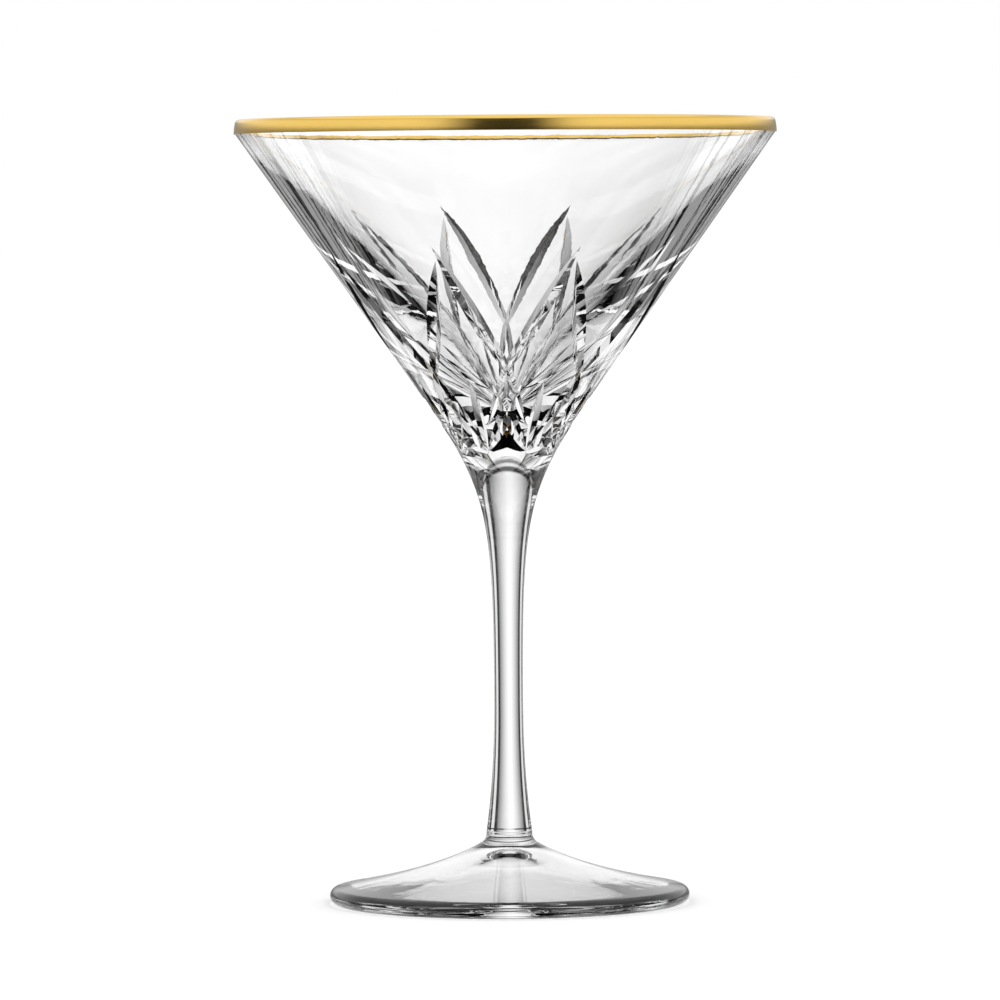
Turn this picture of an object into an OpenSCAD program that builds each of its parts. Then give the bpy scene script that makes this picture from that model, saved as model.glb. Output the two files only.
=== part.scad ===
// Stemmed martini glass in cut crystal with a gilt rim.
// Millimetres, +Z up. The origin is the centre of the foot's resting plane.

/* [Whole glass] */
// Height from the table to the top of the gilt rim
glass_h = 169.5; // [168:0.5:174]
// Half-angle of the bowl's outer cone, from the axis
cone_angle = 35.2; // [34.5:0.1:36]

/* [Lip and gilding] */
// Diameter across the gilt band
band_d = 117; // [116:0.2:119]
// Height of the gilt band on the outside
band_h = 3.2; // [2.6:0.1:4.2]
// Thickness that the gilding is drawn at
band_t = 0.3; // [0.2:0.05:0.4]
// Length of the gilding down the inside of the lip
band_inside = 1.2; // [0.6:0.1:2]
// Radius of the rounded lip under the gilding
lip_r = 0.8; // [0.75:0.05:0.95]

/* [Bowl inside] */
// Height of the lowest point of the hollow
hollow_z = 110; // [108:0.5:113]
// Angle of the hollow's side at the lip, from the axis
hollow_angle = 27; // [25:0.5:30]
// Pull of the hollow's curve along its side
hollow_side_pull = 16.5; // [14:0.5:20]
// Pull of the hollow's curve across its floor
hollow_floor_pull = 2.5; // [2:0.5:5]

/* [Mitre cuts] */
// Number of crossing blade pairs around the bowl
motifs = 8; // [6:1:8]
// Included angle of the cutting wheel's edge
mitre_angle = 112; // [100:2:120]
// Height of the long blades' upper tips
blade_tip_z = 142; // [139:0.5:144]
// Height at which a blade's upper and lower strokes meet, at the motif's centre
blade_join_z = 117.5; // [116:0.5:119]
// Height of the long blades' lower tips
blade_end_z = 103.5; // [102.5:0.5:105]
// Angle from a motif's centre to a blade's lower tip
blade_end_turn = 17; // [14:1:19]
// How far a blade's upper stroke dips below its chord
blade_dip = 0.6; // [0.5:0.05:0.9]
// How far a blade's lower stroke dips below its chord
blade_end_dip = 0.5; // [0.3:0.05:0.7]
// Height of the star cuts' upper tips
star_tip_z = 113; // [111:0.5:116]
// Angle from a motif's centre to a star cut's upper tip
star_tip_turn = 9; // [7:1:11]
// Height of the star points, where the short cuts meet
star_end_z = 98; // [97:0.5:100]
// How far a star cut's edge dips below its chord
star_dip = 0.8; // [0.5:0.05:0.9]
// Height of the split cuts' upper tips, between the motifs
split_tip_z = 113; // [110:0.5:116]
// How far a split cut's edge dips below its chord
split_dip = 1; // [0.8:0.05:1.2]
// How much lower the cuts of every second motif lie
motif_drop = 3; // [0:0.5:4]

/* [Stem] */
// Diameter of the stem at its thinnest
stem_d = 6.3; // [5.6:0.1:7]
// Height of the thinnest place
waist_z = 44; // [40:1:48]
// Diameter of the stem at its foot end
stem_foot_d = 9.9; // [9.4:0.1:10.4]
// Height of the weld between the stem and the joint collar
weld_z = 15.1; // [14.8:0.1:15.6]
// Chamfer on the stem's lower edge, which shows as the weld line
weld_chamfer = 0.25; // [0.15:0.05:0.35]

/* [Foot] */
// Diameter of the foot
foot_d = 77.8; // [74:0.2:82]
// Thickness of the foot's rounded edge
foot_edge_t = 3.5; // [3:0.1:4]
// Diameter of the joint collar where it meets the foot
collar_d = 14.8; // [14:0.2:16]
// Height of the foot's top under the joint collar
foot_top_z = 12.25; // [12:0.05:12.5]
// Inner diameter of the ring that the foot stands on
contact_d = 68; // [62:1:69]
// Height of the hollow under the foot
dome_h = 8.4; // [7:0.1:9]

/* [Hidden] */

curve_steps = 24;      // straight stretches in each long curve
arc_steps = 10;        // straight stretches in each small round
$fn = 180;

crystal = [0.86, 0.9, 0.92, 0.5];
gold = [0.88, 0.66, 0.22];

// Points of a curve with two end points and two handles
function curve(p0, p1, p2, p3) = [
    for (i = [0:curve_steps])
        let (t = i / curve_steps, s = 1 - t)
            s * s * s * p0 + 3 * s * s * t * p1 + 3 * s * t * t * p2 + t * t * t * p3
];

// Points of an arc about a centre, from one angle to another
function arc(centre, radius, from, to) = [
    for (i = [0:arc_steps])
        let (a = from + (to - from) * i / arc_steps)
            centre + radius * [cos(a), sin(a)]
];

function reversed(list) = [for (i = [len(list) - 1:-1:0]) list[i]];
function without_first(list) = [for (i = [1:len(list) - 1]) list[i]];

// Lip: the wall stands upright at the gilding's lower edge and leans in to a full round
lip_lean = 12;                      // the wall's lean where the lip's round starts
lip_outer_r = band_d / 2 - band_t;
band_z = glass_h - band_h;
lip_centre_z = glass_h - band_t - lip_r;
lip_rise = lip_centre_z + lip_r * sin(lip_lean) - band_z;
lip_centre = [
    lip_outer_r - lip_r * cos(lip_lean) - lip_rise * tan(lip_lean / 2),
    lip_centre_z
];
lip_turn = 180 - hollow_angle;      // the lip's round ends where the hollow starts
lip_end = lip_centre + lip_r * [cos(lip_turn), sin(lip_turn)];

// Outer cone of the bowl, and the flare that runs from the stem's waist into it
cone_rise = 1 / tan(cone_angle);
cone_top_z = band_z;
flare_top_z = cone_top_z - 49;
flare_top_r = lip_outer_r - (cone_top_z - flare_top_z) / cone_rise;
flare_side_pull = 33.7;
flare_waist_pull = 44.3;
flare = curve(
    [stem_d / 2, waist_z],
    [stem_d / 2, waist_z + flare_waist_pull],
    [flare_top_r, flare_top_z] - flare_side_pull * [sin(cone_angle), cos(cone_angle)],
    [flare_top_r, flare_top_z]
);
joint_step = 14;                    // the flare's point where bowl and stem meet
joint = flare[joint_step];
bowl_flare = [for (i = [joint_step:curve_steps]) flare[i]];
stem_flare = [for (i = [0:joint_step]) flare[i]];

// Hollow of the bowl, from its floor up to the lip
hollow = curve(
    [0, hollow_z],
    [hollow_floor_pull, hollow_z],
    lip_end - hollow_side_pull * [sin(hollow_angle), cos(hollow_angle)],
    lip_end
);

// The lip's outline from the gilding's lower edge to the hollow, offset outwards
function lip(offset) =
    let (
        start = [lip_outer_r + offset, band_z],
        end = lip_centre + (lip_r + offset) * [cos(lip_lean), sin(lip_lean)],
        pull = (end[1] - start[1]) / 3
    )
        concat(
            curve(start, start + [0, pull], end - pull * [-sin(lip_lean), cos(lip_lean)], end),
            without_first(arc(lip_centre, lip_r + offset, lip_lean, lip_turn))
        );

// Stem below the waist
stem_foot_r = stem_foot_d / 2;
stem_lower = curve(
    [stem_d / 2, waist_z],
    [stem_d / 2, waist_z - 11],
    [stem_foot_r - 1.25, weld_z + 9],
    [stem_foot_r, weld_z + weld_chamfer]
);

// Joint collar: a hollow-sided round under the weld, then a straight slope
collar_round_r = 2.5;
collar_sweep = 60;
collar_side = arc([stem_foot_r + collar_round_r, weld_z], collar_round_r, 180, 180 + collar_sweep);

// Foot: rounded edge, then a curve that steepens towards the collar
edge_r = foot_edge_t / 2;
edge_centre = [foot_d / 2 - edge_r, edge_r];
rim_slope = 10;                     // slope of the foot's top at its edge
collar_slope = 27;                  // slope of the foot's top at the collar
rim_pull = 13;
collar_pull = 8;
foot_rim = edge_centre + edge_r * [sin(rim_slope), cos(rim_slope)];
foot_top = curve(
    foot_rim,
    foot_rim + rim_pull * [-cos(rim_slope), sin(rim_slope)],
    [collar_d / 2, foot_top_z] + collar_pull * [cos(collar_slope), -sin(collar_slope)],
    [collar_d / 2, foot_top_z]
);
contact_r = contact_d / 2;
dome_slope = 9;                     // slope of the hollow at the contact ring
dome_side_pull = 22;
dome_top_pull = 5;
dome = curve(
    [0, dome_h],
    [dome_top_pull, dome_h],
    [contact_r, 0] + dome_side_pull * [-cos(dome_slope), sin(dome_slope)],
    [contact_r, 0]
);

// Cuts: each is ground by the V edge of a large wheel, which enters the bowl at one
// point of its surface and leaves it at another
wheel_v_depth = 5;
wheel_overrun = 2;                  // how far the wheel's edge runs on past each tip
split_end_drop = 1;                 // how far the split cuts run on below the star points
join_overlap_z = 3;                 // how far each stroke runs on past the join, in height
join_overlap_turn = 3;              // and in angle about the axis
motif_step = 360 / motifs;
skin = [for (p = concat(bowl_flare, [[lip_outer_r, cone_top_z]])) [p[1], p[0]]];

// Point on the bowl's outside at a turn about the axis and a height
function on_bowl(turn, z) =
    let (r = lookup(z, skin))
        [r * sin(turn), -r * cos(turn), z];

function unit(v) = v / norm(v);

// One groove from a first point to a second, whose edge dips below their chord
module mitre_cut(turn_a, z_a, turn_b, z_b, dip) {
    a = on_bowl(turn_a, z_a);
    b = on_bowl(turn_b, z_b);
    chord = norm(b - a);
    wheel_r = chord * chord / (8 * dip) + dip / 2;
    mid_turn = (turn_a + turn_b) / 2;
    outward = [
        cos(cone_angle) * sin(mid_turn),
        -cos(cone_angle) * cos(mid_turn),
        -sin(cone_angle)
    ];
    along = unit(b - a);
    out = unit(outward - (outward * along) * along);
    side = cross(out, along);
    hub = (a + b) / 2 + out * (wheel_r - dip);
    sweep = 2 * asin((chord / 2 + wheel_overrun) / wheel_r);
    v_half = wheel_v_depth * tan(mitre_angle / 2);
    multmatrix([
        [-out[0], along[0], side[0], hub[0]],
        [-out[1], along[1], side[1], hub[1]],
        [-out[2], along[2], side[2], hub[2]],
        [0, 0, 0, 1]
    ])
        rotate([0, 0, -sweep / 2])
            rotate_extrude(angle = sweep, $fn = 1440)
                polygon([
                    [wheel_r, 0],
                    [wheel_r - wheel_v_depth, v_half],
                    [wheel_r - wheel_v_depth, -v_half]
                ]);
}

// The short upright cut that rises from the star point between two motifs
module split_cut(turn) {
    mitre_cut(turn, split_tip_z, turn, star_end_z - split_end_drop, split_dip);
}

// The cuts on one side of a motif: the two strokes of a long blade, then a star cut
module half_motif(centre, hand, drop) {
    join_z = blade_join_z - drop / 2;
    mitre_cut(
        centre - hand * motif_step / 2,
        blade_tip_z - drop,
        centre + hand * join_overlap_turn,
        join_z - join_overlap_z,
        blade_dip
    );
    mitre_cut(
        centre - hand * join_overlap_turn,
        join_z + join_overlap_z,
        centre + hand * blade_end_turn,
        blade_end_z - drop / 3,
        blade_end_dip
    );
    mitre_cut(
        centre - hand * star_tip_turn,
        star_tip_z - drop,
        centre + hand * motif_step / 2,
        star_end_z,
        star_dip
    );
}

module bowl() {
    color(crystal)
        difference() {
            rotate_extrude()
                polygon(concat(
                    [[0, joint[1]]],
                    bowl_flare,
                    lip(0),
                    without_first(reversed(hollow))
                ));
            for (i = [0:motifs - 1]) {
                split_cut((i + 0.5) * motif_step);
                for (hand = [-1, 1])
                    half_motif(i * motif_step, hand, (i % 2) * motif_drop);
            }
        }
}

module stem() {
    color(crystal)
        rotate_extrude()
            polygon(concat(
                [[0, weld_z], [stem_foot_r - weld_chamfer, weld_z]],
                reversed(stem_lower),
                without_first(stem_flare),
                [[0, joint[1]]]
            ));
}

module joint_collar() {
    color(crystal)
        rotate_extrude()
            polygon(concat(
                [[0, foot_top_z], [0, weld_z]],
                collar_side,
                [[collar_d / 2, foot_top_z]]
            ));
}

module foot() {
    color(crystal)
        rotate_extrude()
            polygon(concat(
                dome,
                arc(edge_centre, edge_r, -90, 90 - rim_slope),
                without_first(foot_top),
                [[0, foot_top_z]]
            ));
}

module rim_band() {
    band_inner_end = lip_end - band_inside * [sin(hollow_angle), cos(hollow_angle)];
    band_offset = band_t * [-cos(hollow_angle), sin(hollow_angle)];
    color(gold)
        rotate_extrude()
            polygon(concat(
                lip(band_t),
                [band_inner_end + band_offset, band_inner_end],
                reversed(lip(0))
            ));
}

bowl();
stem();
joint_collar();
foot();
rim_band();
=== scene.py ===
"""Looks of the cut-crystal martini glass: clear glass meshes, fired gilding, studio."""

import math

import bmesh
import bpy
from mathutils import Matrix, Vector


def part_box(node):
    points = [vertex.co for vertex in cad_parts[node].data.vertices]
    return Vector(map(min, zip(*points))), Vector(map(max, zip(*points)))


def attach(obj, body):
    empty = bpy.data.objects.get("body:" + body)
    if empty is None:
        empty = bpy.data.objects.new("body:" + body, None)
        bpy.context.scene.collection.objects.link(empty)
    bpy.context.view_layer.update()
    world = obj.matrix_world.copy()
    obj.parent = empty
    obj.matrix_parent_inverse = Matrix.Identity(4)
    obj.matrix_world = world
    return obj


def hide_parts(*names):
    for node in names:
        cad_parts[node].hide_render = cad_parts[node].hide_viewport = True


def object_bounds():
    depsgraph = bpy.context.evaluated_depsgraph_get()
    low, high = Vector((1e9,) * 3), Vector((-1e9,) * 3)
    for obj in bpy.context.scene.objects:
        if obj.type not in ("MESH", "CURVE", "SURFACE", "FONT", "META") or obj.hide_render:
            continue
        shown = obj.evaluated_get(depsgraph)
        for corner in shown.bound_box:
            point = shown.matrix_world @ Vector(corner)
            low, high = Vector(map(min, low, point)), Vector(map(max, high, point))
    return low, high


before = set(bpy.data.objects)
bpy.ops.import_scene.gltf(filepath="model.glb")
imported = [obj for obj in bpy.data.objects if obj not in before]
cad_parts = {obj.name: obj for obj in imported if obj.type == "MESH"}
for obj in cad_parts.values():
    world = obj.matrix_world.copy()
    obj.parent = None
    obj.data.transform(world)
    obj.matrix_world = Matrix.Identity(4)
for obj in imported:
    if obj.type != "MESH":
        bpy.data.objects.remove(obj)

CAD_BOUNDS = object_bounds()
MM = 0.001

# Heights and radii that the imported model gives. All lengths down to the meshes are in
# millimetres. A "pull" is the length of a curve's handle at the end that it names
BAND_LOW, BAND_HIGH = (Vector(corner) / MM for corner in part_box("rim_band"))
STEM_LOW, _ = (Vector(corner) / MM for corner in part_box("stem"))
_, FOOT_HIGH = (Vector(corner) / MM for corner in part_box("foot"))
GLASS_H = BAND_HIGH.z
BAND_R = BAND_HIGH.x
BAND_Z = BAND_LOW.z
WELD_Z = STEM_LOW.z
FOOT_TOP_Z = FOOT_HIGH.z
FOOT_R = FOOT_HIGH.x

# Lip and gilding
BAND_T = 0.3
BAND_INSIDE = 1.2
LIP_LEAN = math.radians(12)
LIP_R = 0.8

# Bowl
CONE_ANGLE = math.radians(35.2)
HOLLOW_ANGLE = math.radians(27)
HOLLOW_Z = 110.0
HOLLOW_SIDE_PULL = 16.5
HOLLOW_FLOOR_PULL = 2.5
FLARE_DROP = 49.0
FLARE_SIDE_PULL = 33.7
FLARE_WAIST_PULL = 44.3
JOINT_SHARE = 14 / 24               # share of the flare that belongs to the stem

# Mitre cuts. A "turn" is an angle about the axis from a motif's centre, in degrees, and
# a "dip" is how far a cut's edge goes below its chord
MOTIFS = 8
MITRE_ANGLE = math.radians(112)
BLADE_TIP_Z, BLADE_JOIN_Z, BLADE_END_Z = 142.0, 117.5, 103.5
BLADE_OVERLAP_Z, BLADE_OVERLAP_TURN, BLADE_END_TURN = 3.0, 3.0, 17.0
BLADE_DIP, BLADE_END_DIP = 0.6, 0.5
STAR_TIP_Z, STAR_END_Z, STAR_TIP_TURN, STAR_DIP = 113.0, 98.0, 9.0, 0.8
SPLIT_TIP_Z, SPLIT_END_Z, SPLIT_DIP = 113.0, 97.0, 1.0
MOTIF_DROP = 3.0                    # how much lower every other motif sits
WHEEL_OVERRUN, WHEEL_DEPTH = 2.0, 5.0

# Stem, collar and foot
STEM_R = 3.15
WAIST_Z = 44.0
STEM_WAIST_PULL = 11.0
STEM_FOOT_R = 4.95
STEM_FOOT_PULL, STEM_FOOT_DRAW = 9.0, 1.25
WELD_CHAMFER = 0.25
COLLAR_ROUND_R = 2.5
COLLAR_SWEEP = math.radians(60)
COLLAR_R = 7.4
EDGE_R = 1.75
RIM_SLOPE, RIM_PULL = math.radians(10), 13.0
COLLAR_SLOPE, COLLAR_PULL = math.radians(27), 8.0
CONTACT_R = 34.0
DOME_H = 8.4
DOME_SLOPE = math.radians(9)
DOME_SIDE_PULL, DOME_TOP_PULL = 22.0, 5.0

# Steps round the axis and along the outlines
SEGMENTS = 360
LIP_SIDE_STEPS, LIP_STEPS, BAND_STEPS = 12, 16, 24
BOWL_FLARE_STEPS, WALL_STEPS, HOLLOW_STEPS = 40, 30, 80
STEM_FLARE_STEPS, STEM_LOWER_STEPS, COLLAR_STEPS = 90, 60, 20
FOOT_STEPS, EDGE_STEPS, WHEEL_STEPS = 90, 32, 90

ON_AXIS = 1e-6                      # radius below which a point closes a turned mesh
LEVEL = 1e-4                        # height difference that still counts as a seam

# Angles between faces, in degrees, from which an edge looks crisp
GLASS_CREASE, GILT_CREASE = 12, 30

# Materials. Texture scales are per metre
CRYSTAL_IOR = 1.545
SWELL_SCALE, SWELL_DETAIL, SWELL_DISTORTION, SWELL_H = 170, 2, 0.6, 0.016
GOLD = (0.93, 0.62, 0.16, 1)
STROKE_SCALE, STROKE_DETAIL, STROKE_STRETCH, STROKE_H = 240, 4, 12, 0.004
GOLD_ROUGHNESS = 0.1, 0.24
FLOOR_GREY = (0.84, 0.84, 0.84, 1)
FLOOR_SIZE, FLOOR_DROP, PAINTED_LIGHT_DROP = 60, 0.00002, 0.00001       # metres
# The disc under the foot glows with painted light that lifts the shade the glass casts on the
# floor
PAINTED_LIGHT_SIDES, PAINTED_LIGHT_GLOW = 96, 0.22

# Studio, as stops of (angle or share, brightness). What shows through the glass goes by
# the turn, which repeats every 90 degrees, and by the lift, 0 below and 1 overhead. What
# the glass and the gold reflect goes by the turn away from behind the glass, 180 towards
# the camera's side, and by the angle up from straight below
WALL_SPAN, WALL_TURN = 45.0, 3.0
WALL = (
    (0, 1.0), (3, 0.98), (9, 0.82), (16, 0.6), (22, 0.4), (27, 0.25), (29.5, 0.1),
    (30.5, 0.003), (37.5, 0.003), (39, 0.7), (45, 0.8),
)
SIDE = (
    (0, 0.9), (0.44, 1.0), (0.5, 1.0), (0.69, 0.9), (0.7, 0.01), (0.715, 0.01),
    (0.725, 0.8), (0.735, 0.8), (0.745, 0.01), (0.765, 0.01), (0.775, 0.7), (0.785, 0.7),
    (0.795, 0.01), (0.81, 0.01), (0.83, 0.9), (1, 1.0),
)
BOX = ((0, 1.0), (110, 0.95), (140, 1.0), (152, 0.85), (168, 0.03), (180, 0.02))
HORIZON = (
    (0, 0.02), (46, 0.03), (57, 0.8), (62, 0.6), (71, 0.4), (81, 0.24), (86, 0.067),
    (93, 0.067), (99, 0.22), (110, 0.22), (122, 0.167), (180, 0.22),
)
STREAKS = ((0, 0.0), (0.44, 0.04), (0.5, 0.8), (1, 1.0))
STREAK_SCALE, STREAK_DETAIL, STREAK_DISTORTION = 20, 2, 1.2
HORIZON_GAIN, THROUGH_GAIN, DIMMEST = 4.5, 1.1, 0.02
TOP_FADE, BOTTOM_FADE = (52.0, 57.0), (65.0, 82.0)      # through the glass, up and down
HIGH_FADE, STREAK_FADE = (24.0, 46.0), (5.0, 9.0)       # reflected, up and down
ON_FLOOR, BACKDROP = 1.4, 1.0       # levels for rays off the floor and from the camera

# Camera: place and reach in metres, lens and sensor in millimetres
CAMERA_PLACE, CAMERA_REACH = (-0.0016, -1.523, 0.1483), 100
CAMERA_LENS, CAMERA_SENSOR = 254, 36
CAMERA_PITCH, CAMERA_ROLL = math.radians(2.3), math.radians(-0.35)


# --- outlines, as (radius, height) points in millimetres ---------------------------

def point(r, z):
    return Vector((r, z))


def curve(p0, p1, p2, p3, steps, start=0.0, end=1.0):
    """Points of a curve with two ends and two handles, over a share of its length."""
    points = []
    for i in range(steps + 1):
        t = start + (end - start) * i / steps
        s = 1 - t
        points.append(s**3 * p0 + 3 * s * s * t * p1 + 3 * s * t * t * p2 + t**3 * p3)
    return points


def arc(centre, radius, start, end, steps):
    """Points of an arc about a centre, from one angle to another."""
    angles = [start + (end - start) * i / steps for i in range(steps + 1)]
    return [centre + radius * Vector((math.cos(a), math.sin(a))) for a in angles]


LIP_OUTER_R = BAND_R - BAND_T
LIP_CENTRE_Z = GLASS_H - BAND_T - LIP_R
LIP_RISE = LIP_CENTRE_Z + LIP_R * math.sin(LIP_LEAN) - BAND_Z
LIP_CENTRE = point(
    LIP_OUTER_R - LIP_R * math.cos(LIP_LEAN) - LIP_RISE * math.tan(LIP_LEAN / 2),
    LIP_CENTRE_Z,
)
LIP_TURN = math.pi - HOLLOW_ANGLE
LIP_END = LIP_CENTRE + LIP_R * Vector((math.cos(LIP_TURN), math.sin(LIP_TURN)))
HOLLOW_RISE = Vector((math.sin(HOLLOW_ANGLE), math.cos(HOLLOW_ANGLE)))
CONE_RISE = Vector((math.sin(CONE_ANGLE), math.cos(CONE_ANGLE)))

FLARE_TOP = point(LIP_OUTER_R - FLARE_DROP * math.tan(CONE_ANGLE), BAND_Z - FLARE_DROP)
FLARE = (
    point(STEM_R, WAIST_Z),
    point(STEM_R, WAIST_Z + FLARE_WAIST_PULL),
    FLARE_TOP - FLARE_SIDE_PULL * CONE_RISE,
    FLARE_TOP,
)
HOLLOW = (
    point(0, HOLLOW_Z),
    point(HOLLOW_FLOOR_PULL, HOLLOW_Z),
    LIP_END - HOLLOW_SIDE_PULL * HOLLOW_RISE,
    LIP_END,
)


def lip_side(offset):
    """The lip's outside up to its round, leaning in, moved outwards by an offset."""
    start = point(LIP_OUTER_R + offset, BAND_Z)
    radius = LIP_R + offset
    end = LIP_CENTRE + radius * Vector((math.cos(LIP_LEAN), math.sin(LIP_LEAN)))
    pull = (end.y - start.y) / 3
    lean = Vector((-math.sin(LIP_LEAN), math.cos(LIP_LEAN)))
    return curve(start, start + Vector((0, pull)), end - pull * lean, end, LIP_SIDE_STEPS)


def bowl_skin():
    """The bowl's outside, from its joint with the stem to the foot of the lip."""
    flare = curve(*FLARE, BOWL_FLARE_STEPS, start=JOINT_SHARE)
    top = point(LIP_OUTER_R, BAND_Z)
    wall = [FLARE_TOP.lerp(top, i / WALL_STEPS) for i in range(1, WALL_STEPS + 1)]
    return flare + wall


SKIN = bowl_skin()
JOINT_Z = SKIN[0].y


def bowl_outline():
    lip = lip_side(0) + arc(LIP_CENTRE, LIP_R, LIP_LEAN, LIP_TURN, LIP_STEPS)[1:]
    hollow = curve(*HOLLOW, HOLLOW_STEPS)[::-1]
    return [point(0, JOINT_Z)] + SKIN + lip[1:] + hollow[1:]


def stem_outline():
    flare = curve(*FLARE, STEM_FLARE_STEPS, end=JOINT_SHARE)
    lower = curve(
        point(STEM_R, WAIST_Z),
        point(STEM_R, WAIST_Z - STEM_WAIST_PULL),
        point(STEM_FOOT_R - STEM_FOOT_DRAW, WELD_Z + STEM_FOOT_PULL),
        point(STEM_FOOT_R, WELD_Z + WELD_CHAMFER),
        STEM_LOWER_STEPS,
    )[::-1]
    base = [point(0, WELD_Z), point(STEM_FOOT_R - WELD_CHAMFER, WELD_Z)]
    return base + lower + flare[1:] + [point(0, flare[-1].y)]


def collar_outline():
    side = arc(
        point(STEM_FOOT_R + COLLAR_ROUND_R, WELD_Z),
        COLLAR_ROUND_R,
        math.pi,
        math.pi + COLLAR_SWEEP,
        COLLAR_STEPS,
    )
    top = [point(COLLAR_R, FOOT_TOP_Z), point(0, FOOT_TOP_Z)]
    return [point(0, WELD_Z)] + side + top


def foot_outline():
    contact = point(CONTACT_R, 0)
    dome = curve(
        point(0, DOME_H),
        point(DOME_TOP_PULL, DOME_H),
        contact + DOME_SIDE_PULL * Vector((-math.cos(DOME_SLOPE), math.sin(DOME_SLOPE))),
        contact,
        FOOT_STEPS,
    )
    edge_centre = point(FOOT_R - EDGE_R, EDGE_R)
    edge = arc(edge_centre, EDGE_R, -math.pi / 2, math.pi / 2 - RIM_SLOPE, EDGE_STEPS)
    collar = point(COLLAR_R, FOOT_TOP_Z)
    top = curve(
        edge[-1],
        edge[-1] + RIM_PULL * Vector((-math.cos(RIM_SLOPE), math.sin(RIM_SLOPE))),
        collar + COLLAR_PULL * Vector((math.cos(COLLAR_SLOPE), -math.sin(COLLAR_SLOPE))),
        collar,
        FOOT_STEPS,
    )
    return dome + edge + top[1:] + [point(0, FOOT_TOP_Z)]


def band_outline():
    inside = LIP_END - BAND_INSIDE * HOLLOW_RISE
    outward = BAND_T * Vector((-math.cos(HOLLOW_ANGLE), math.sin(HOLLOW_ANGLE)))
    return (
        lip_side(BAND_T)
        + arc(LIP_CENTRE, LIP_R + BAND_T, LIP_LEAN, LIP_TURN, BAND_STEPS)[1:]
        + [inside + outward, inside]
        + arc(LIP_CENTRE, LIP_R, LIP_TURN, LIP_LEAN, LIP_STEPS)
        + lip_side(0)[::-1][1:]
    )


# --- meshes ------------------------------------------------------------------------

def add_piece(name, bm):
    """A scene object with the finished mesh, its faces looking outwards."""
    bmesh.ops.recalc_face_normals(bm, faces=bm.faces)
    mesh = bpy.data.meshes.new(name)
    bm.to_mesh(mesh)
    bm.free()
    piece = bpy.data.objects.new(name, mesh)
    bpy.context.scene.collection.objects.link(piece)
    return piece


def revolve(name, outline, seams=()):
    """A closed mesh turned from an outline. Faces flat at a seam's height get slot 1."""
    bm = bmesh.new()
    rings = []
    for p in outline:
        if p.x < ON_AXIS:
            rings.append([bm.verts.new((0, 0, p.y * MM))])
            continue
        ring = []
        for k in range(SEGMENTS):
            a = 2 * math.pi * k / SEGMENTS
            spot = (p.x * math.sin(a) * MM, -p.x * math.cos(a) * MM, p.y * MM)
            ring.append(bm.verts.new(spot))
        rings.append(ring)
    if outline[0].x > ON_AXIS:
        rings.append(rings[0])
        outline = outline + [outline[0]]
    for low, high, p, q in zip(rings, rings[1:], outline, outline[1:]):
        flat = any(abs(p.y - z) < LEVEL and abs(q.y - z) < LEVEL for z in seams)
        for k in range(SEGMENTS):
            n = (k + 1) % SEGMENTS
            corners = (
                low[k % len(low)], low[n % len(low)],
                high[n % len(high)], high[k % len(high)],
            )
            face = bm.faces.new(list(dict.fromkeys(corners)))
            face.material_index = int(flat)
            face.smooth = True
    return add_piece(name, bm)


def on_bowl(turn, z):
    """Point on the bowl's outside at a turn about the axis, in degrees, and a height."""
    for p, q in zip(SKIN, SKIN[1:]):
        if p.y <= z <= q.y:
            r = p.x + (q.x - p.x) * (z - p.y) / (q.y - p.y)
            a = math.radians(turn)
            return Vector((r * math.sin(a), -r * math.cos(a), z))
    raise ValueError("height off the bowl")


def mitre_wheel(turn_a, z_a, turn_b, z_b, dip):
    """The stretch of a V-edged wheel that grinds one cut between two points."""
    a, b = on_bowl(turn_a, z_a), on_bowl(turn_b, z_b)
    chord = (b - a).length
    wheel_r = chord * chord / (8 * dip) + dip / 2
    mid = math.radians((turn_a + turn_b) / 2)
    outward = Vector((
        math.cos(CONE_ANGLE) * math.sin(mid),
        -math.cos(CONE_ANGLE) * math.cos(mid),
        -math.sin(CONE_ANGLE),
    ))
    along = (b - a).normalized()
    out = (outward - outward.dot(along) * along).normalized()
    side = out.cross(along)
    hub = (a + b) / 2 + out * (wheel_r - dip)
    half_sweep = math.asin((chord / 2 + WHEEL_OVERRUN) / wheel_r)
    v_half = WHEEL_DEPTH * math.tan(MITRE_ANGLE / 2)
    back_r = wheel_r - WHEEL_DEPTH
    bm = bmesh.new()
    rings = []
    for i in range(WHEEL_STEPS + 1):
        turn = -half_sweep + 2 * half_sweep * i / WHEEL_STEPS
        spoke = -out * math.cos(turn) + along * math.sin(turn)
        ring = []
        for radius, across in ((wheel_r, 0), (back_r, v_half), (back_r, -v_half)):
            ring.append(bm.verts.new((hub + radius * spoke + side * across) * MM))
        rings.append(ring)
    for low, high in zip(rings, rings[1:]):
        for k in range(3):
            n = (k + 1) % 3
            bm.faces.new((low[k], low[n], high[n], high[k]))
    bm.faces.new(rings[0])
    bm.faces.new(rings[-1])
    for face in bm.faces:
        face.smooth = True
    return add_piece("wheel", bm)


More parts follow.
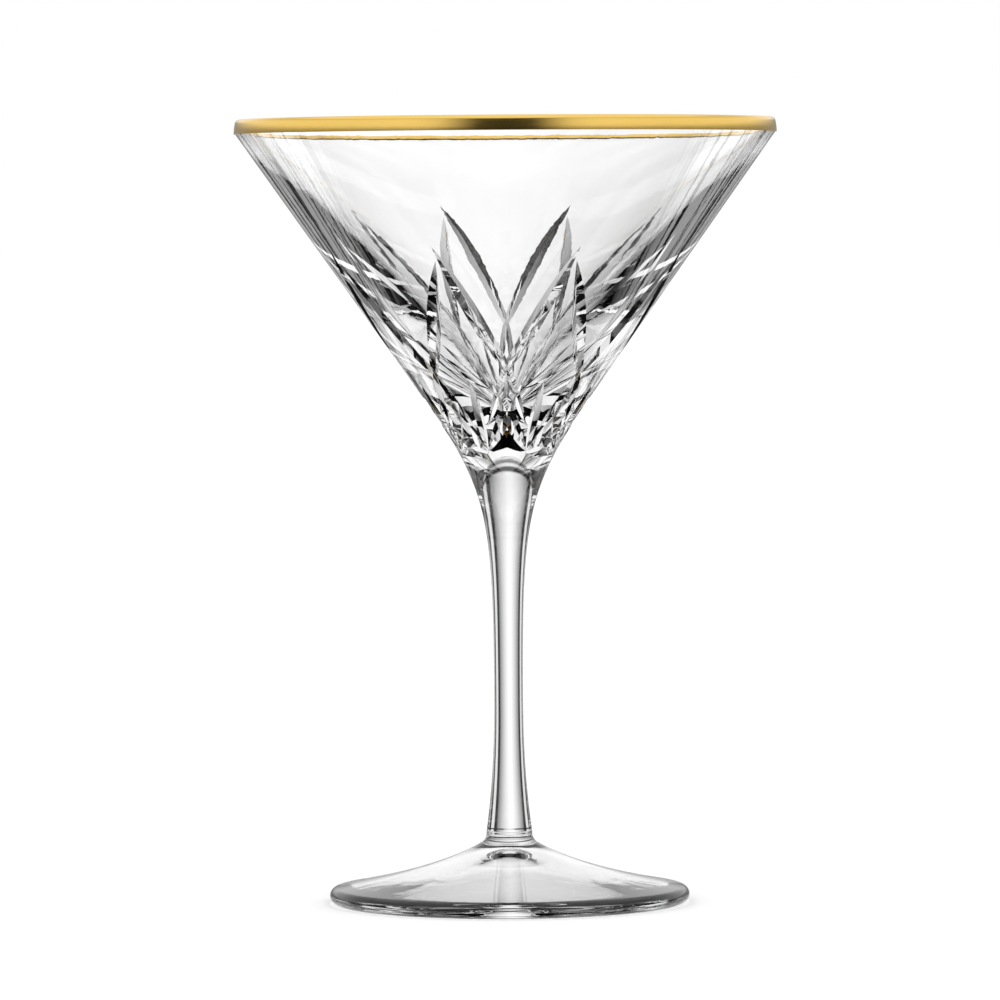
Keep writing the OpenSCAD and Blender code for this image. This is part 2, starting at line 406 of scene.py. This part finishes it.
def cut_wheels():
    """Every wheel stretch: the long blades, two strokes each, the star and split cuts."""
    step = 360 / MOTIFS
    wheels = []
    for i in range(MOTIFS):
        centre = i * step
        drop = (i % 2) * MOTIF_DROP
        # The tips take the whole drop, the joins half of it and the lower ends a third
        join_z = BLADE_JOIN_Z - drop / 2
        end_z = BLADE_END_Z - drop / 3
        for hand in (-1, 1):
            wheels.append(mitre_wheel(
                centre - hand * step / 2, BLADE_TIP_Z - drop,
                centre + hand * BLADE_OVERLAP_TURN, join_z - BLADE_OVERLAP_Z, BLADE_DIP,
            ))
            wheels.append(mitre_wheel(
                centre - hand * BLADE_OVERLAP_TURN, join_z + BLADE_OVERLAP_Z,
                centre + hand * BLADE_END_TURN, end_z, BLADE_END_DIP,
            ))
            wheels.append(mitre_wheel(
                centre - hand * STAR_TIP_TURN, STAR_TIP_Z - drop,
                centre + hand * step / 2, STAR_END_Z, STAR_DIP,
            ))
        between = centre + step / 2
        wheels.append(mitre_wheel(between, SPLIT_TIP_Z, between, SPLIT_END_Z, SPLIT_DIP))
    return wheels


def grind(piece, wheels):
    """Grinds the wheels' cuts into the piece, whose first material they take."""
    tools = bpy.data.collections.new("wheels")
    for wheel in wheels:
        wheel.data.materials.append(piece.data.materials[0])
        tools.objects.link(wheel)
    cut = piece.modifiers.new("cut", "BOOLEAN")
    cut.operation = "DIFFERENCE"
    cut.operand_type = "COLLECTION"
    cut.collection = tools
    cut.solver = "MANIFOLD"
    depsgraph = bpy.context.evaluated_depsgraph_get()
    mesh = bpy.data.meshes.new_from_object(piece.evaluated_get(depsgraph))
    piece.modifiers.clear()
    piece.data = mesh
    for wheel in wheels:
        bpy.data.objects.remove(wheel)
    bpy.data.collections.remove(tools)


def soften(piece, angle):
    """Smooth shading, with a crisp edge wherever faces meet at more than the angle."""
    crisp = math.radians(angle)
    bm = bmesh.new()
    bm.from_mesh(piece.data)
    for face in bm.faces:
        face.smooth = True
    for edge in bm.edges:
        edge.smooth = len(edge.link_faces) == 2 and edge.calc_face_angle(0) < crisp
    bm.to_mesh(piece.data)
    bm.free()


# --- materials ---------------------------------------------------------------------

def new_material(name):
    """A material with its node tree and its main shader."""
    material = bpy.data.materials.new(name)
    material.use_nodes = True
    shader = material.node_tree.nodes["Principled BSDF"]
    return material, material.node_tree, shader


def roughen(tree, shader, texture, height):
    """Raises the surface by a texture, by at most a height in millimetres."""
    bump = tree.nodes.new("ShaderNodeBump")
    bump.inputs["Strength"].default_value = 1
    bump.inputs["Distance"].default_value = height * MM
    tree.links.new(texture.outputs["Fac"], bump.inputs["Height"])
    tree.links.new(bump.outputs["Normal"], shader.inputs["Normal"])


def crystal():
    """Clear lead crystal. A faint swell in the surface bends what shows through it."""
    material, tree, shader = new_material("clear_crystal")
    shader.inputs["Base Color"].default_value = (1, 1, 1, 1)
    shader.inputs["Transmission Weight"].default_value = 1
    shader.inputs["IOR"].default_value = CRYSTAL_IOR
    shader.inputs["Roughness"].default_value = 0
    place = tree.nodes.new("ShaderNodeTexCoord").outputs["Object"]
    swell = tree.nodes.new("ShaderNodeTexNoise")
    swell.inputs["Scale"].default_value = SWELL_SCALE
    swell.inputs["Detail"].default_value = SWELL_DETAIL
    swell.inputs["Distortion"].default_value = SWELL_DISTORTION
    tree.links.new(place, swell.inputs["Vector"])
    roughen(tree, shader, swell, SWELL_H)
    return material


def fused_seam():
    """Where two pieces of glass are fused there is no surface to see."""
    material = bpy.data.materials.new("fused_seam")
    material.use_nodes = True
    tree = material.node_tree
    tree.nodes.remove(tree.nodes["Principled BSDF"])
    clear = tree.nodes.new("ShaderNodeBsdfTransparent")
    tree.links.new(clear.outputs[0], tree.nodes["Material Output"].inputs[0])
    return material


def gilding():
    """Fired gold: bright metal with the faint strokes of the brush that laid it on."""
    material, tree, shader = new_material("fired_gold")
    shader.inputs["Base Color"].default_value = GOLD
    shader.inputs["Metallic"].default_value = 1
    nodes, links = tree.nodes, tree.links
    place = nodes.new("ShaderNodeTexCoord").outputs["Object"]
    stretch = nodes.new("ShaderNodeMapping")
    stretch.inputs["Scale"].default_value = (1, 1, STROKE_STRETCH)
    links.new(place, stretch.inputs["Vector"])
    strokes = nodes.new("ShaderNodeTexNoise")
    strokes.inputs["Scale"].default_value = STROKE_SCALE
    strokes.inputs["Detail"].default_value = STROKE_DETAIL
    links.new(stretch.outputs[0], strokes.inputs["Vector"])
    polish = nodes.new("ShaderNodeMapRange")
    polish.inputs["To Min"].default_value = GOLD_ROUGHNESS[0]
    polish.inputs["To Max"].default_value = GOLD_ROUGHNESS[1]
    links.new(strokes.outputs["Fac"], polish.inputs["Value"])
    links.new(polish.outputs[0], shader.inputs["Roughness"])
    roughen(tree, shader, strokes, STROKE_H)
    return material


def matt_floor(name, glow):
    """Pale matt floor, which can give off a little painted light of its own."""
    material, _, shader = new_material(name)
    shader.inputs["Base Color"].default_value = FLOOR_GREY
    shader.inputs["Roughness"].default_value = 1
    shader.inputs["Specular IOR Level"].default_value = 0
    shader.inputs["Emission Color"].default_value = (1, 1, 1, 1)
    shader.inputs["Emission Strength"].default_value = glow
    return material


# --- pieces ------------------------------------------------------------------------

def build():
    fused = fused_seam()
    glass = crystal()
    bowl = revolve("crystal_bowl", bowl_outline(), seams=(JOINT_Z,))
    bowl.data.materials.append(glass)
    bowl.data.materials.append(fused)
    grind(bowl, cut_wheels())
    stem = revolve("crystal_stem", stem_outline(), seams=(WELD_Z, JOINT_Z))
    collar = revolve("crystal_collar", collar_outline(), seams=(WELD_Z, FOOT_TOP_Z))
    foot = revolve("crystal_foot", foot_outline(), seams=(FOOT_TOP_Z,))
    band = revolve("gilt_band", band_outline())
    for piece in (stem, collar, foot):
        piece.data.materials.append(glass)
        piece.data.materials.append(fused)
    band.data.materials.append(gilding())
    for piece, node, crease, slot in (
        (bowl, "bowl", GLASS_CREASE, "crystal_bowl"),
        (stem, "stem", GLASS_CREASE, "crystal_stem"),
        (collar, "joint_collar", GLASS_CREASE, "crystal_collar"),
        (foot, "foot", GLASS_CREASE, "crystal_foot"),
        (band, "rim_band", GILT_CREASE, "gilding"),
    ):
        soften(piece, crease)
        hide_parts(node)
        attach(piece, "root")


def build_floor():
    """A wide floor that the glass neither shows nor reflects, and a disc under the foot that
    glows with painted light to lift the shade the glass casts there.
    """
    ground_z = CAD_BOUNDS[0].z
    bpy.ops.mesh.primitive_plane_add(size=FLOOR_SIZE, location=(0, 0, ground_z - FLOOR_DROP))
    floor = bpy.context.object
    floor.name = "floor"
    floor.visible_transmission = False
    floor.visible_glossy = False
    floor.data.materials.append(matt_floor("pale_floor", 0))
    # A glowing disc under the foot: painted light that lifts the shade under the glass
    bpy.ops.mesh.primitive_circle_add(
        vertices=PAINTED_LIGHT_SIDES,
        radius=FOOT_R * MM,
        fill_type="NGON",
        location=(0, 0, ground_z - PAINTED_LIGHT_DROP),
    )
    disc = bpy.context.object
    disc.name = "painted_light_under_foot"
    disc.data.materials.append(matt_floor("floor_painted_light", PAINTED_LIGHT_GLOW))


def build_world():
    world = bpy.data.worlds.new("studio")
    bpy.context.scene.world = world
    world.use_nodes = True
    tree = world.node_tree
    nodes, links = tree.nodes, tree.links
    nodes.clear()

    def math_node(operation, a, b=None):
        node = nodes.new("ShaderNodeMath")
        node.operation = operation
        for socket, value in zip(node.inputs, (a, b)):
            if value is None:
                continue
            if isinstance(value, (int, float)):
                socket.default_value = value
            else:
                links.new(value, socket)
        return node.outputs[0]

    def smooth(value, low, high):
        node = nodes.new("ShaderNodeMapRange")
        node.interpolation_type = "SMOOTHSTEP"
        links.new(value, node.inputs["Value"])
        node.inputs["From Min"].default_value = low
        node.inputs["From Max"].default_value = high
        return node.outputs[0]

    def ramp(value, span, stops):
        """Brightness by stops of (value, level), joined by straight lines."""
        node = nodes.new("ShaderNodeValToRGB")
        links.new(math_node("DIVIDE", value, span), node.inputs["Fac"])
        elements = node.color_ramp.elements
        while len(elements) < len(stops):
            elements.new(0.5)
        for element, (place, level) in zip(elements, stops):
            element.position = place / span
            element.color = (level, level, level, 1)
        return node.outputs["Color"]

    def mix(share, a, b):
        rest = math_node("SUBTRACT", 1.0, share)
        return math_node("ADD", math_node("MULTIPLY", a, rest), math_node("MULTIPLY", b, share))

    direction = nodes.new("ShaderNodeTexCoord").outputs["Generated"]
    split = nodes.new("ShaderNodeSeparateXYZ")
    links.new(direction, split.inputs[0])
    x, y, z = split.outputs
    turn = math_node("MULTIPLY", math_node("ARCTAN2", x, y), 180 / math.pi)
    rise = math_node("MULTIPLY", math_node("ARCSINE", z), 180 / math.pi)
    fall = math_node("MULTIPLY", rise, -1.0)

    # seen through the glass: bright round the horizon with dark flags between
    fold = math_node("PINGPONG", math_node("ADD", turn, WALL_TURN), WALL_SPAN)
    wall = ramp(fold, WALL_SPAN, WALL)
    side = ramp(math_node("DIVIDE", math_node("ADD", rise, 90.0), 180.0), 1.0, SIDE)
    ends = math_node("MAXIMUM", smooth(rise, *TOP_FADE), smooth(fall, *BOTTOM_FADE))
    side = math_node("MULTIPLY", side, THROUGH_GAIN)
    through = math_node("MULTIPLY", math_node("MAXIMUM", wall, ends), side)

    # seen in reflection: dark on the camera's side, bright softboxes round the rest, the
    # low one streaked
    box = ramp(math_node("ABSOLUTE", turn), 180.0, BOX)
    noise = nodes.new("ShaderNodeTexNoise")
    links.new(direction, noise.inputs["Vector"])
    noise.inputs["Scale"].default_value = STREAK_SCALE
    noise.inputs["Detail"].default_value = STREAK_DETAIL
    noise.inputs["Distortion"].default_value = STREAK_DISTORTION
    streaks = ramp(noise.outputs["Fac"], 1.0, STREAKS)
    horizon = ramp(math_node("ADD", rise, 90.0), 180.0, HORIZON)
    horizon = math_node("MULTIPLY", horizon, HORIZON_GAIN)
    horizon = math_node("MULTIPLY", horizon, mix(smooth(fall, *STREAK_FADE), 1.0, streaks))
    round_about = math_node("MULTIPLY", box, horizon)
    softboxes = math_node("MAXIMUM", round_about, smooth(rise, *HIGH_FADE))
    shine = math_node("ADD", softboxes, DIMMEST)

    path = nodes.new("ShaderNodeLightPath").outputs
    level = mix(path["Is Transmission Ray"], shine, through)
    level = mix(math_node("GREATER_THAN", path["Diffuse Depth"], 0.5), level, ON_FLOOR)
    level = mix(path["Is Camera Ray"], level, BACKDROP)
    shade = nodes.new("ShaderNodeBackground")
    shade.inputs["Color"].default_value = (1, 1, 1, 1)
    links.new(level, shade.inputs["Strength"])
    output = nodes.new("ShaderNodeOutputWorld")
    links.new(shade.outputs[0], output.inputs[0])


def build_camera():
    camera = bpy.data.objects.new("camera", bpy.data.cameras.new("camera"))
    bpy.context.scene.collection.objects.link(camera)
    camera.data.sensor_width = CAMERA_SENSOR
    camera.data.lens = CAMERA_LENS
    camera.data.clip_end = CAMERA_REACH
    tilt = Matrix.Rotation(math.pi / 2 - CAMERA_PITCH, 4, "X")
    roll = Matrix.Rotation(CAMERA_ROLL, 4, "Z")
    camera.matrix_world = Matrix.Translation(CAMERA_PLACE) @ (tilt @ roll)
    bpy.context.scene.camera = camera


build()
build_floor()
build_world()
build_camera()
bpy.context.scene.view_settings.view_transform = "Standard"
